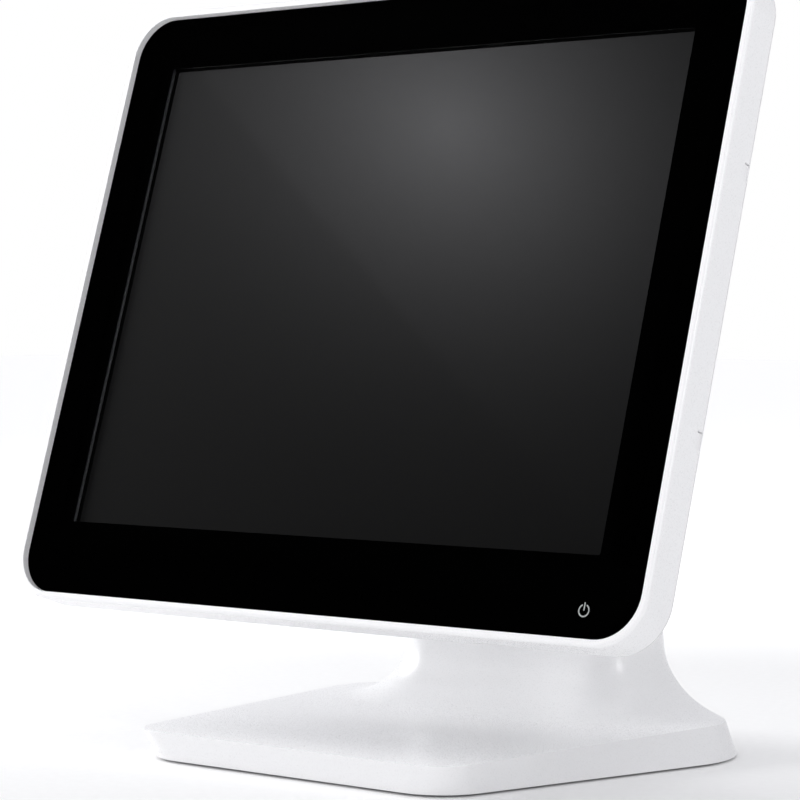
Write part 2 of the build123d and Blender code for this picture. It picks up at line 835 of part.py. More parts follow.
with BuildPart() as bracket_screws:
    with BuildSketch(behind(hump_back + bracket_thick)):
        with Locations((0, post_y)):
            with GridLocations(post_x_spacing, post_y_spacing, 2, 2):
                Circle(screw_head_ratio * post_screw_radius)
    extrude(amount=-bracket_screw_head)
    fillet(faces().sort_by(glass_axis)[0].edges(), bracket_screw_round)
    with BuildSketch(behind(hump_back + bracket_thick)):
        with Locations((0, post_y)):
            with GridLocations(post_x_spacing, post_y_spacing, 2, 2):
                Circle(post_screw_radius)
    extrude(amount=bracket_thick + post_screw_bite)
save(bracket_screws, "bracket_screws")

# Mainboard, held off the chassis so that the drive tray slides under it.
board_front = plate_back + board_gap
board_back = board_front + board_thick
board_centre = (0, board_y)
board_low = board_y - board_height / 2

with BuildPart() as board_standoffs:
    with BuildSketch(behind(plate_back)):
        with Locations(board_centre):
            with GridLocations(board_width - 2 * standoff_inset, board_height - 2 * standoff_inset, 2, 2):
                RegularPolygon(standoff_radius, 6)
    extrude(amount=-board_gap)
save(board_standoffs, "board_standoffs")

with BuildPart() as mainboard:
    with BuildSketch(behind(board_front)):
        with Locations(board_centre):
            RectangleRounded(board_width, board_height, board_corner)
        with Locations((0, post_y)):
            with GridLocations(post_x_spacing, post_y_spacing, 2, 2):
                Circle(post_radius + board_post_clear, mode=Mode.SUBTRACT)
    extrude(amount=-board_thick)
save(mainboard, "mainboard")

with BuildPart() as board_screws:
    with BuildSketch(behind(board_back)):
        with Locations(board_centre):
            with GridLocations(board_width - 2 * standoff_inset, board_height - 2 * standoff_inset, 2, 2):
                Circle(board_screw_head)
    extrude(amount=-screw_head)
save(board_screws, "board_screws")

with BuildPart() as processor:
    with BuildSketch(behind(board_back)):
        with Locations((processor_x, processor_y)):
            Rectangle(chip_size, chip_size)
    extrude(amount=-chip_thick)
save(processor, "processor")

with BuildPart() as heatsink:
    with BuildSketch(behind(board_back + chip_thick)):
        with Locations((processor_x, processor_y)):
            Rectangle(sink_size, sink_size)
    extrude(amount=-sink_base)
    with BuildSketch(behind(board_back + chip_thick + sink_base)):
        with Locations((processor_x, processor_y)):
            with GridLocations(sink_pitch, 1, sink_fins, 1):
                Rectangle(sink_fin, sink_size)
    extrude(amount=-sink_height)
save(heatsink, "heatsink")

with BuildPart() as memory_module:
    with BuildSketch(behind(board_back + memory_lift)):
        with Locations((memory_x, memory_y)):
            Rectangle(memory_width, memory_height)
    extrude(amount=-memory_thick)
save(memory_module, "memory_module")

with BuildPart() as memory_socket:
    with BuildSketch(behind(board_back)):
        with Locations((memory_x, memory_y - memory_height / 2 - socket_depth / 2)):
            Rectangle(socket_width, socket_depth)
        for side in (-1, 1):
            with Locations((memory_x + side * (memory_width + socket_arm) / 2, memory_y - socket_depth / 2)):
                Rectangle(socket_arm, memory_height + socket_depth)
    extrude(amount=-socket_thick)
save(memory_socket, "memory_socket")

# Connectors along the board's lower edge, mouths facing down.
port_wall = board_low - port_overhang
port_plane = Plane(origin=head_origin + up_screen * port_wall, x_dir=(1, 0, 0), z_dir=-up_screen)


def port_spot(x, height):
    """A connector's centre on the port plane: local Y there runs towards the glass."""
    return (x, -(board_back + height / 2))


with BuildPart() as usb_ports:
    for x in usb_x:
        with BuildSketch(port_plane):
            with Locations(port_spot(x, usb_height)):
                Rectangle(usb_width, usb_height)
        extrude(amount=-port_length)
        for row in (-1, 1):
            with BuildSketch(port_plane):
                with Locations((x, port_spot(x, usb_height)[1] + row * usb_height / 4)):
                    Rectangle(usb_width - 2 * usb_shell, usb_height / 2 - 2 * usb_shell)
                    Rectangle(usb_width - 2 * usb_tongue_inset, usb_tongue, mode=Mode.SUBTRACT)
            extrude(amount=-port_length + port_back, mode=Mode.SUBTRACT)
save(usb_ports, "usb_ports")

with BuildPart() as lan_port:
    with BuildSketch(port_plane):
        with Locations(port_spot(lan_x, lan_height)):
            Rectangle(lan_width, lan_height)
    extrude(amount=-port_length)
    with BuildSketch(port_plane):
        with Locations(port_spot(lan_x, lan_height)):
            Rectangle(lan_width - 2 * lan_side, lan_height - 2 * lan_end)
    extrude(amount=-port_length + port_back, mode=Mode.SUBTRACT)
save(lan_port, "lan_port")

with BuildPart() as serial_port:
    with BuildSketch(port_plane):
        with Locations(port_spot(serial_x, serial_height)):
            RectangleRounded(serial_width, serial_height, serial_corner)
    extrude(amount=-port_length / 2)
    with BuildSketch(port_plane):
        with Locations(port_spot(serial_x, serial_height)):
            RectangleRounded(serial_shell_width, serial_shell_height, serial_shell_corner)
    extrude(amount=port_overhang / 2)
    with BuildSketch(port_plane.offset(port_overhang / 2)):
        with Locations(port_spot(serial_x, serial_height)):
            RectangleRounded(
                serial_shell_width - 2 * serial_shell, serial_shell_height - 2 * serial_shell,
                serial_shell_corner - serial_shell,
            )
    extrude(amount=-port_length / 2, mode=Mode.SUBTRACT)
save(serial_port, "serial_port")

with BuildPart() as dc_inlet:
    with BuildSketch(port_plane):
        with Locations(port_spot(dc_x, dc_size)):
            Rectangle(dc_size, dc_size)
    extrude(amount=-port_length)
    with BuildSketch(port_plane):
        with Locations(port_spot(dc_x, dc_size)):
            Circle(dc_bore)
            Circle(dc_pin, mode=Mode.SUBTRACT)
    extrude(amount=-port_length + port_back, mode=Mode.SUBTRACT)
save(dc_inlet, "dc_inlet")

with BuildPart() as port_bracket:
    with BuildSketch(port_plane):
        with Locations((0, -(board_front + port_window / 2))):
            Rectangle(port_plate_width, port_window - 2 * part_clear)
        with Locations(*[port_spot(x, usb_height) for x in usb_x]):
            Rectangle(usb_width + 2 * port_clear, usb_height + 2 * port_clear, mode=Mode.SUBTRACT)
        with Locations(port_spot(lan_x, lan_height)):
            Rectangle(lan_width + 2 * port_clear, lan_height + 2 * port_clear, mode=Mode.SUBTRACT)
        with Locations(port_spot(serial_x, serial_height)):
            Rectangle(serial_width + 2 * port_clear, serial_height + 2 * port_clear, mode=Mode.SUBTRACT)
        with Locations(port_spot(dc_x, dc_size)):
            Rectangle(dc_size + 2 * port_clear, dc_size + 2 * port_clear, mode=Mode.SUBTRACT)
    extrude(amount=-port_plate_thick)
    with BuildSketch(behind(board_front)):
        for side in (-1, 1):
            with Locations((side * (port_plate_width + board_width + 2 * part_clear) / 4, port_wall + port_ear_length / 2)):
                Rectangle((port_plate_width - board_width) / 2 - part_clear, port_ear_length)
    extrude(amount=-port_plate_thick)
save(port_bracket, "port_bracket")

# Drive tray: pulls out of the head's right side.
tray_front = plate_back + tray_gap

with BuildPart() as drive_tray:
    with BuildSketch(behind(tray_front)):
        with Locations((tray_outer - tray_length / 2, tray_y)):
            Rectangle(tray_length, tray_width)
    extrude(amount=-tray_floor)
    with BuildSketch(behind(tray_front)):
        with Locations((tray_outer - tray_length / 2, tray_y)):
            Rectangle(tray_length, tray_width)
            Rectangle(tray_length, tray_width - 2 * tray_wall, mode=Mode.SUBTRACT)
    extrude(amount=-tray_thick)
    with BuildSketch(behind(tray_front)):
        with Locations((tray_outer - tray_front_thick / 2, tray_y)):
            Rectangle(tray_front_thick, tray_width)
    extrude(amount=-tray_thick)
    with BuildSketch(behind(tray_front + tray_thick / 2)):
        with Locations((tray_outer + tray_grip / 2, tray_y)):
            Rectangle(tray_grip, tray_grip_width)
    extrude(amount=-tray_grip_thick)
save(drive_tray, "drive_tray")

with BuildPart() as storage_drive:
    with BuildSketch(behind(tray_front + tray_floor)):
        with Locations((tray_outer - tray_front_thick - drive_clear - drive_length / 2, tray_y)):
            RectangleRounded(drive_length, drive_width, drive_corner)
    extrude(amount=-drive_thick)
save(storage_drive, "storage_drive")

guide_x = tray_outer - tray_length / 2 - guide_short
guide_off = tray_width / 2 + guide_clear + guide_thick / 2

with BuildPart() as drive_guides:
    with BuildSketch(behind(plate_back)):
        for side in (-1, 1):
            with Locations((guide_x, tray_y + side * guide_off)):
                Rectangle(tray_length - 2 * guide_short, guide_thick)
    extrude(amount=-tray_thick - tray_gap)
save(drive_guides, "drive_guides")

with BuildPart() as touch_controller:
    with BuildSketch(behind(plate_back + controller_lift)):
        with Locations((controller_x, controller_y)):
            Rectangle(controller_width, controller_height)
    extrude(amount=-board_thick)
    with BuildSketch(behind(plate_back)):
        with Locations((controller_x, controller_y)):
            with GridLocations(
                controller_width - 2 * controller_inset, controller_height - 2 * controller_inset, 2, 2
            ):
                Circle(controller_peg)
    extrude(amount=-controller_lift)
    with BuildSketch(behind(plate_back + controller_lift + board_thick)):
        with Locations((controller_x, controller_y)):
            Rectangle(controller_chip, controller_chip)
    extrude(amount=-controller_chip_thick)
save(touch_controller, "touch_controller")

with BuildPart() as speakers:
    for side in (-1, 1):
        with BuildSketch(behind(plate_back)):
            with Locations((side * speaker_x, speaker_y)):
                RectangleRounded(speaker_length, speaker_width, speaker_corner)
        extrude(amount=-speaker_thick)
        with BuildSketch(behind(plate_back + speaker_thick)):
            with Locations((side * speaker_x, speaker_y)):
                SlotOverall(speaker_length - 2 * cone_inset, speaker_width - cone_inset)
        extrude(amount=-cone_rise)
save(speakers, "speakers")


# Rear cover: white ABS, a sloped pan with a hump for the board.
def cover_volume(wall=0.0):
    with BuildPart() as cover:
        with BuildSketch(behind(frame_depth)):
            RectangleRounded(
                frame_width - 2 * (cover_seam + wall), frame_height - 2 * (cover_seam + wall),
                frame_radius - cover_seam - wall,
            )
        with BuildSketch(behind(frame_depth + cover_slope_depth - wall)):
            RectangleRounded(
                frame_width - 2 * (cover_slope_inset + wall), frame_height - 2 * (cover_slope_inset + wall),
                frame_radius - wall,
            )
        loft(ruled=True)
        with BuildSketch(behind(frame_depth + hump_root)):
            with Locations((0, -hump_below_centre)):
                RectangleRounded(hump_width - 2 * wall, hump_height - 2 * wall, hump_radius - wall)
        with BuildSketch(behind(hump_back - wall)):
            with Locations((0, -hump_below_centre)):
                RectangleRounded(
                    hump_width - 2 * (hump_draft + wall), hump_height - 2 * (hump_draft + wall),
                    hump_radius - wall,
                )
        loft(ruled=True)
        fillet(faces().sort_by(glass_axis)[0].edges(), hump_edge - wall)
    return cover.part


with BuildPart() as rear_cover:
    add(cover_volume())
    add(cover_volume(cover_wall), mode=Mode.SUBTRACT)
    with BuildSketch(behind(frame_depth)):
        with Locations((0, vent_y)):
            with GridLocations(vent_pitch, 1, vent_count, 1):
                SlotOverall(vent_length, vent_width, rotation=90)
    extrude(amount=-hump_back, mode=Mode.SUBTRACT)
    with BuildSketch(behind(frame_depth)):
        for side in (-1, 1):
            with Locations((side * speaker_x, speaker_y)):
                with GridLocations(grille_pitch, 1, grille_count, 1):
                    SlotOverall(grille_length, vent_width, rotation=90)
    extrude(amount=-hump_back, mode=Mode.SUBTRACT)
    with BuildSketch(port_plane.offset(hump_height)):
        with Locations((0, -(board_front + port_window / 2))):
            RectangleRounded(port_plate_width + 2 * port_window_margin, port_window, port_window_corner)
    extrude(amount=-hump_height - port_window_depth, mode=Mode.SUBTRACT)
    with BuildSketch(behind(tray_front - part_clear)):
        with Locations((tray_outer, tray_y)):
            Rectangle(2 * cover_slope_inset, tray_width + 2 * part_clear)
    extrude(amount=-tray_thick - 2 * part_clear, mode=Mode.SUBTRACT)
    with BuildSketch(behind(hump_back)):
        with Locations((0, post_y)):
            with GridLocations(post_x_spacing, post_y_spacing, 2, 2):
                Circle(post_radius + post_clear)
    extrude(amount=cover_wall, mode=Mode.SUBTRACT)
    for x, y in cover_screw_spots:
        with BuildSketch(behind(plate_back)):
            with Locations((x, y)):
                Circle(cover_boss_radius)
                Circle(cover_screw_radius, mode=Mode.SUBTRACT)
        extrude(amount=-cover_boss_length)
        with BuildSketch(behind(hump_back)):
            with Locations((x, y)):
                Circle(cover_screw_radius)
        extrude(amount=hump_back - frame_depth, mode=Mode.SUBTRACT)
save(rear_cover, "rear_cover")

with BuildPart() as cover_screws:
    for x, y in cover_screw_spots:
        with BuildSketch(behind(frame_depth + cover_slope_depth)):
            with Locations((x, y)):
                Circle(screw_head_ratio * cover_screw_radius)
        extrude(amount=-screw_head)
        with BuildSketch(behind(frame_depth + cover_slope_depth)):
            with Locations((x, y)):
                Circle(cover_screw_radius)
        extrude(amount=frame_depth + cover_slope_depth - plate_back)
save(cover_screws, "cover_screws")
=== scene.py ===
import json
from math import cos, radians, sin

import bmesh
import bpy
from mathutils import Matrix, Vector

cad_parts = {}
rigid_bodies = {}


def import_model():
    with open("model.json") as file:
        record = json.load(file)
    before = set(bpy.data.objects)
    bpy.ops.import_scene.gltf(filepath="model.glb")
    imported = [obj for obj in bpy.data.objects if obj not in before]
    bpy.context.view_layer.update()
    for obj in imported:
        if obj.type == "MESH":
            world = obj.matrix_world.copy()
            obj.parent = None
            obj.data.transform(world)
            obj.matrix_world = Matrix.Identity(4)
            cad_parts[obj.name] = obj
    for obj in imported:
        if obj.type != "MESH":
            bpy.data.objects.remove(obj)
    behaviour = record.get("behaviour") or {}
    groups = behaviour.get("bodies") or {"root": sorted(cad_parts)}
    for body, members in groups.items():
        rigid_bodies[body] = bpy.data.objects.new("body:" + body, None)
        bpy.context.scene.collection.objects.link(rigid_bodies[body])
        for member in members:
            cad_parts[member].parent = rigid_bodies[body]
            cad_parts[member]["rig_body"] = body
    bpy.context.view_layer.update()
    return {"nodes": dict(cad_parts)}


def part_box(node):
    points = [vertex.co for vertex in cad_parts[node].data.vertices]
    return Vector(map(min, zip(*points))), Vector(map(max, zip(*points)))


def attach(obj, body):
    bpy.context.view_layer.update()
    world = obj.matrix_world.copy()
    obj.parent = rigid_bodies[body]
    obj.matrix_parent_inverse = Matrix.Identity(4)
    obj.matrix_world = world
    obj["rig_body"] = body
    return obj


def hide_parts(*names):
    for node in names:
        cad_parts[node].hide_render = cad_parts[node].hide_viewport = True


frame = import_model()
mm = 0.001

# ---------------------------------------------------------------- camera
# A long lens, a little above the foot and off to the cashier's right.
eye = bpy.data.objects.new("camera", bpy.data.cameras.new("camera"))
eye.location = (0.79442, -0.98747, 0.1969)
eye.rotation_euler = (radians(88.424), 0, radians(39.42))
eye.data.sensor_width = 36
eye.data.lens = 124.33
eye.data.clip_start = 0.05
bpy.context.scene.collection.objects.link(eye)
bpy.context.scene.camera = eye


# ---------------------------------------------------------------- floor
# A pale sweep of matt card under and behind the object. It has a painted glow, an emission that grows
# further out and stands in for lamp light washing the card white, so that it has no horizon; near the
# object it is faint.
def linear(hex_colour):
    """An sRGB colour such as "f2f2f0" as linear RGBA."""
    parts = [int(hex_colour[i:i + 2], 16) / 255 for i in (0, 2, 4)]
    return [p / 12.92 if p <= 0.04045 else ((p + 0.055) / 1.055) ** 2.4 for p in parts] + [1]


def add(tree, kind, inputs, **settings):
    """Adds a shader node; each input is a value or another node's output socket."""
    made = tree.nodes.new("ShaderNode" + kind)
    for name, value in settings.items():
        setattr(made, name, value)
    for name, value in inputs.items():
        if isinstance(value, bpy.types.NodeSocket):
            tree.links.new(value, made.inputs[name])
        else:
            made.inputs[name].default_value = value
    return made


def start_material(name):
    """A new material with an empty tree: (material, tree)."""
    material = bpy.data.materials.new(name)
    material.use_nodes = True
    material.node_tree.nodes.clear()
    return material, material.node_tree


def sweep_card():
    fibre_size = 4.5 * mm
    glow_start = 0.32
    glow_end = 0.8
    material, tree = start_material("pale_sweep_card")
    place = add(tree, "TexCoord", {})
    fibre = add(tree, "TexNoise", {
        "Vector": place.outputs["Object"], "Scale": 1 / fibre_size, "Detail": 3.0,
    })
    tone = add(tree, "MixRGB", {
        "Fac": fibre.outputs["Fac"], "Color1": linear("f4f4f4"), "Color2": linear("fafafa"),
    })
    away = add(tree, "VectorMath", {0: place.outputs["Object"]}, operation="LENGTH")
    # painted glow: emission that rises with distance from the object, painted light in place of lamps on
    # the card
    painted_glow = add(tree, "MapRange", {
        "Value": away.outputs["Value"], "From Min": glow_start, "From Max": glow_end,
        "To Min": 0.03, "To Max": 0.42,
    }, interpolation_type="SMOOTHSTEP")
    card = add(tree, "BsdfPrincipled", {
        "Base Color": tone.outputs["Color"], "Roughness": 0.9, "Specular IOR Level": 0.1,
        "Emission Color": linear("ffffff"), "Emission Strength": painted_glow.outputs["Result"],
    })
    add(tree, "OutputMaterial", {"Surface": card.outputs["BSDF"]})
    return material


def place_mesh(name, work, material):
    """Turns a finished bmesh into an object with one material."""
    mesh = bpy.data.meshes.new(name)
    work.to_mesh(mesh)
    work.free()
    mesh.materials.clear()
    mesh.materials.append(material)
    piece = bpy.data.objects.new(name, mesh)
    bpy.context.scene.collection.objects.link(piece)
    return piece


floor_half = 12.0
sheet = bmesh.new()
bmesh.ops.create_grid(sheet, x_segments=8, y_segments=8, size=floor_half)
place_mesh("floor", sheet, sweep_card())


# ---------------------------------------------------------------- soft boxes
# The key light stands low at the left, where it reaches the foot under the head; a wide
# box hangs overhead, a strip fills the front, and two small boxes make the neck's highlights.
def soft_box(name, place, width, height, watts):
    light = bpy.data.lights.new(name, "AREA")
    light.shape = "RECTANGLE"
    light.size = width
    light.size_y = height
    light.energy = watts
    lamp = bpy.data.objects.new(name, light)
    middle = Vector((0, 0, 0.05))
    turn = (Vector(place) - middle).to_track_quat("Z", "Y")
    lamp.matrix_world = Matrix.LocRotScale(Vector(place), turn, None)
    bpy.context.scene.collection.objects.link(lamp)


soft_box("left_key", (-1.95, -0.35, 0.92), 0.9, 0.6, 27.0)
soft_box("overhead_box", (0.2, -0.1, 1.9), 1.4, 1.4, 4.0)
soft_box("front_strip", (-0.5, -2.0, 0.75), 0.25, 0.9, 3.6)
soft_box("neck_box", (-1.272, -1.348, 0.60), 0.16, 0.10, 1.2)
soft_box("right_box", (1.53, -0.97, 0.90), 0.16, 0.16, 5.0)

# ---------------------------------------------------------------- the studio's walls
# White walls, a black flag in front to the left that keeps the screen dark, and a round
# diffuser glowing in the middle of it, half of it behind a second sheet.
flag_heart = Vector((-0.6195, -0.5994, 0.5070)).normalized()
right_wall = Vector((0.85, 0.25, -0.1))
diffuser_across = Vector((0.6953, -0.7187, 0)) / radians(3.43)
diffuser_up = Vector((0.3643, 0.3525, 0.8620)) / radians(2.85)
sheet_edge = Vector((0.5913, -0.0241, 0.8061))
diffuser_glow = 1.75
second_sheet = 0.2
flag_level = 0.06
flag_rim = 0.80  # cosines to its heart where the flag starts and where it is fully dark
flag_full = 0.94
fade_power = 1.27
edge_blur = 0.0015
wall_level = 0.80
right_wall_level = 0.36

studio = bpy.data.worlds.new("studio")
studio.use_nodes = True
room = studio.node_tree
room.nodes.clear()
looking = add(room, "TexCoord", {}).outputs["Generated"]
to_right = add(room, "VectorMath", {0: looking, 1: right_wall}, operation="DOT_PRODUCT")
walls = add(room, "MapRange", {
    "Value": to_right.outputs["Value"], "From Min": -0.2, "From Max": 1.0,
    "To Min": wall_level, "To Max": right_wall_level,
}, interpolation_type="SMOOTHSTEP")
to_flag = add(room, "VectorMath", {0: looking, 1: flag_heart}, operation="DOT_PRODUCT")
flag = add(room, "MapRange", {
    "Value": to_flag.outputs["Value"], "From Min": flag_rim, "From Max": flag_full,
}, interpolation_type="SMOOTHSTEP")
across = add(room, "VectorMath", {0: looking, 1: diffuser_across}, operation="DOT_PRODUCT")
rise = add(room, "VectorMath", {0: looking, 1: diffuser_up}, operation="DOT_PRODUCT")
spot = add(room, "CombineXYZ", {"X": across.outputs["Value"], "Y": rise.outputs["Value"]})
spread = add(room, "VectorMath", {0: spot.outputs["Vector"]}, operation="LENGTH")
reach = add(room, "Math", {0: spread.outputs["Value"], 1: fade_power}, operation="POWER")
depth = add(room, "Math", {0: reach.outputs["Value"], 1: -1.0}, operation="MULTIPLY")
fade = add(room, "Math", {0: depth.outputs["Value"]}, operation="EXPONENT")
past_edge = add(room, "VectorMath", {0: looking, 1: sheet_edge}, operation="DOT_PRODUCT")
sheets = add(room, "MapRange", {
    "Value": past_edge.outputs["Value"], "From Min": -edge_blur, "From Max": edge_blur,
    "To Min": diffuser_glow, "To Max": diffuser_glow * (1 + second_sheet),
})
flagged = add(room, "Math", {
    0: fade.outputs["Value"], 1: sheets.outputs["Result"], 2: flag_level,
}, operation="MULTIPLY_ADD")
level = add(room, "Mix", {
    "Factor": flag.outputs["Result"], "A": walls.outputs["Result"], "B": flagged.outputs["Value"],
})
seen = add(room, "LightPath", {})
lit_room = add(room, "Background", {"Color": linear("fbfbff"), "Strength": level.outputs["Result"]})
white_wall = add(room, "Background", {"Color": linear("ffffff"), "Strength": 1.0})
blend = add(room, "MixShader", {
    "Fac": seen.outputs["Is Camera Ray"],
    1: lit_room.outputs["Background"],
    2: white_wall.outputs["Background"],
})
add(room, "OutputWorld", {"Surface": blend.outputs["Shader"]})
bpy.context.scene.world = studio
bpy.context.scene.view_settings.view_transform = "Standard"


# ---------------------------------------------------------------- foot and neck shell
# One glossy white ABS moulding from a polished tool, with a very fine grain in its colour
# and gloss. Screws come up into its bosses through the base plate.
def white_abs():
    grain = 0.5 * mm
    material, tree = start_material("glossy_white_abs")
    place = add(tree, "TexCoord", {})
    grains = add(tree, "TexNoise", {"Vector": place.outputs["Object"], "Scale": 1 / grain, "Detail": 2.0})
    tone = add(tree, "MixRGB", {
        "Fac": grains.outputs["Fac"], "Color1": linear("f2f2f3"), "Color2": linear("f5f5f6"),
    })
    gloss = add(tree, "MapRange", {"Value": grains.outputs["Fac"], "To Min": 0.25, "To Max": 0.31})
    plastic = add(tree, "BsdfPrincipled", {
        "Base Color": tone.outputs["Color"], "Roughness": gloss.outputs["Result"], "IOR": 1.53,
    })
    add(tree, "OutputMaterial", {"Surface": plastic.outputs["BSDF"]})
    return material


def finish_node(name, material):
    """Gives a CAD node that is shown as it is its material."""
    for part_slot in frame["nodes"][name].material_slots:
        part_slot.material = material


white = white_abs()
finish_node("base_shell", white)

# ---------------------------------------------------------------- cable cover
# The hatch at the back of the foot, in the same white ABS; two clips hold it and it
# slides out to reach the cables.
finish_node("cable_cover", white)

# ---------------------------------------------------------------- hinge caps
# Two white ABS caps that snap over the ends of the tilt hinge.
finish_node("hinge_caps", white)

# ---------------------------------------------------------------- front frame
# The head's white ABS frame round the glass, with a bright rolled rim and a ledge that
# carries the glass; the rear cover is screwed to it.
finish_node("front_frame", white)

# ---------------------------------------------------------------- seam hooks
# Small white ABS tongues of the rear cover that show in the slots of the frame's seam.
finish_node("seam_hooks", white)

# ---------------------------------------------------------------- rear cover
# The head's white ABS back with its hump, vents, speaker slots and port window. Four
# screws at its corners hold it to the front frame.
finish_node("rear_cover", white)


# ---------------------------------------------------------------- rubber feet
# Four soft black rubber pads, moulded, glued in place under the base plate.
def dull_grain(name, dark, light, grain, roughness, depth):
    """Moulded, cast or printed surface: a fine even grain in colour and relief."""
    material, tree = start_material(name)
    place = add(tree, "TexCoord", {})
    grains = add(tree, "TexNoise", {"Vector": place.outputs["Object"], "Scale": 1 / grain, "Detail": 4.0})
    tone = add(tree, "MixRGB", {
        "Fac": grains.outputs["Fac"], "Color1": linear(dark), "Color2": linear(light),
    })
    pits = add(tree, "Bump", {"Height": grains.outputs["Fac"], "Strength": 0.5, "Distance": depth})
    surface = add(tree, "BsdfPrincipled", {
        "Base Color": tone.outputs["Color"], "Roughness": roughness, "Normal": pits.outputs["Normal"],
    })
    add(tree, "OutputMaterial", {"Surface": surface.outputs["BSDF"]})
    return material


finish_node("rubber_feet", dull_grain("soft_black_rubber", "141414", "1e1e1e", 0.6 * mm, 0.8, 0.03 * mm))


# ---------------------------------------------------------------- base plate
# A zinc plated sheet steel plate that closes the foot from below and carries the ballast.
def zinc_plate():
    crystal = 5 * mm
    roll_line = 0.4 * mm
    material, tree = start_material("zinc_plated_sheet")
    place = add(tree, "TexCoord", {})
    spangle = add(tree, "TexVoronoi", {"Vector": place.outputs["Object"], "Scale": 1 / crystal})
    stretch = add(tree, "Mapping", {"Vector": place.outputs["Object"], "Scale": (0.02, 1, 1)})
    rolled = add(tree, "TexNoise", {"Vector": stretch.outputs["Vector"], "Scale": 1 / roll_line})
    tone = add(tree, "MixRGB", {
        "Fac": spangle.outputs["Color"], "Color1": linear("a9adb2"), "Color2": linear("c4c8cc"),
    })
    sheen = add(tree, "MapRange", {"Value": rolled.outputs["Fac"], "To Min": 0.3, "To Max": 0.48})
    dents = add(tree, "Bump", {"Height": rolled.outputs["Fac"], "Strength": 0.3, "Distance": 0.02 * mm})
    steel = add(tree, "BsdfPrincipled", {
        "Base Color": tone.outputs["Color"], "Metallic": 1.0, "Roughness": sheen.outputs["Result"],
        "Normal": dents.outputs["Normal"],
    })
    add(tree, "OutputMaterial", {"Surface": steel.outputs["BSDF"]})
    return material


zinc = zinc_plate()
finish_node("base_plate", zinc)


# ---------------------------------------------------------------- base screws
# Four nickel plated screws up through the base plate into the shell's bosses, with
# cross recesses pressed into their heads.
def fine_metal(name, dark, light, grain, low_roughness, high_roughness):
    """Turned, ground, rolled or cast metal: a fine grain in colour and sheen."""
    material, tree = start_material(name)
    place = add(tree, "TexCoord", {})
    grains = add(tree, "TexNoise", {"Vector": place.outputs["Object"], "Scale": 1 / grain, "Detail": 3.0})
    tone = add(tree, "MixRGB", {
        "Fac": grains.outputs["Fac"], "Color1": linear(dark), "Color2": linear(light),
    })
    sheen = add(tree, "MapRange", {
        "Value": grains.outputs["Fac"], "To Min": low_roughness, "To Max": high_roughness,
    })
    metal = add(tree, "BsdfPrincipled", {
        "Base Color": tone.outputs["Color"], "Metallic": 1.0, "Roughness": sheen.outputs["Result"],
    })
    add(tree, "OutputMaterial", {"Surface": metal.outputs["BSDF"]})
    return material


def stand_for(piece, name):
    """The piece rides with the CAD node's body, and the CAD node is hidden so the piece is shown in its
    place.
    """
    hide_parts(name)
    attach(piece, frame["nodes"][name]["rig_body"])


def islands(work):
    """The separate pieces of a bmesh, each a list of its vertices."""
    waiting = set(work.verts)
    found = []
    while waiting:
        growing = [waiting.pop()]
        for corner in growing:
            for edge in corner.link_edges:
                other = edge.other_vert(corner)
                if other in waiting:
                    waiting.remove(other)
                    growing.append(other)
        found.append(growing)
    return found


def cross_screws(name, outward, material):
    """The CAD screws of one node, with a cross recess cut into each head that faces outward."""
    arm = 0.62  # of the head's radius
    arm_half = 0.17
    recess = 1.0 * mm
    sharp = radians(30)
    turn = outward.to_track_quat("Z", "Y")
    source = bmesh.new()
    source.from_mesh(frame["nodes"][name].data)
    bmesh.ops.remove_doubles(source, verts=source.verts[:], dist=0.002 * mm)
    for screw in islands(source):
        top = max(corner.co.dot(outward) for corner in screw)
        rim = [corner for corner in screw if top - corner.co.dot(outward) < 0.01 * mm]
        middle = sum((corner.co for corner in rim), Vector()) / len(rim)
        radius = max((corner.co - middle).length for corner in rim)
        doomed = [face for face in set(face for corner in rim for face in corner.link_faces)
                  if all(corner in rim for corner in face.verts)]
        bmesh.ops.delete(source, geom=doomed, context="FACES_ONLY")
        loose = [edge for edge in source.edges if not edge.link_faces]
        bmesh.ops.delete(source, geom=loose, context="EDGES")
        around = [edge for edge in source.edges if edge.is_boundary
                  and edge.verts[0] in rim and edge.verts[1] in rim]
        outline = [
            (arm, arm_half), (arm_half, arm_half), (arm_half, arm), (-arm_half, arm),
            (-arm_half, arm_half), (-arm, arm_half), (-arm, -arm_half), (-arm_half, -arm_half),
            (-arm_half, -arm), (arm_half, -arm), (arm_half, -arm_half), (arm, -arm_half),
        ]
        cross = [source.verts.new(middle + turn @ Vector((x * radius, y * radius, 0))) for x, y in outline]
        slit = [source.edges.new((cross[i - 1], cross[i])) for i in range(len(cross))]
        bmesh.ops.triangle_fill(source, use_beauty=True, edges=around + slit, normal=outward)
        sunk = bmesh.ops.extrude_edge_only(source, edges=slit)["geom"]
        low = [item for item in sunk if isinstance(item, bmesh.types.BMVert)]
        bmesh.ops.translate(source, vec=-outward * recess, verts=low)
        low_edges = [item for item in sunk if isinstance(item, bmesh.types.BMEdge)
                     and item.verts[0] in low and item.verts[1] in low]
        bmesh.ops.triangle_fill(source, use_beauty=True, edges=low_edges, normal=outward)
    bmesh.ops.recalc_face_normals(source, faces=source.faces[:])
    piece = place_mesh(name + "_crossed", source, material)
    piece.data.shade_smooth()
    piece.data.set_sharp_from_angle(angle=sharp)
    stand_for(piece, name)


nickel = fine_metal("nickel_plated_screw", "9b9b98", "b4b4b0", 0.8 * mm, 0.22, 0.36)
cross_screws("base_screws", Vector((0, 0, -1)), nickel)

# ---------------------------------------------------------------- cover screws
# Four nickel plated screws through the rear cover's corners into the frame's bosses.
lean = radians(17.5)
screen_up = Vector((0, sin(lean), cos(lean)))
screen_back = Vector((0, cos(lean), -sin(lean)))
cross_screws("cover_screws", screen_back, nickel)

# ---------------------------------------------------------------- ballast
# A sand cast iron block, dark and rough, resting on the base plate inside the foot.
finish_node("ballast", dull_grain("sand_cast_iron", "2a2a2c", "3b3b3d", 1.2 * mm, 0.7, 0.1 * mm))

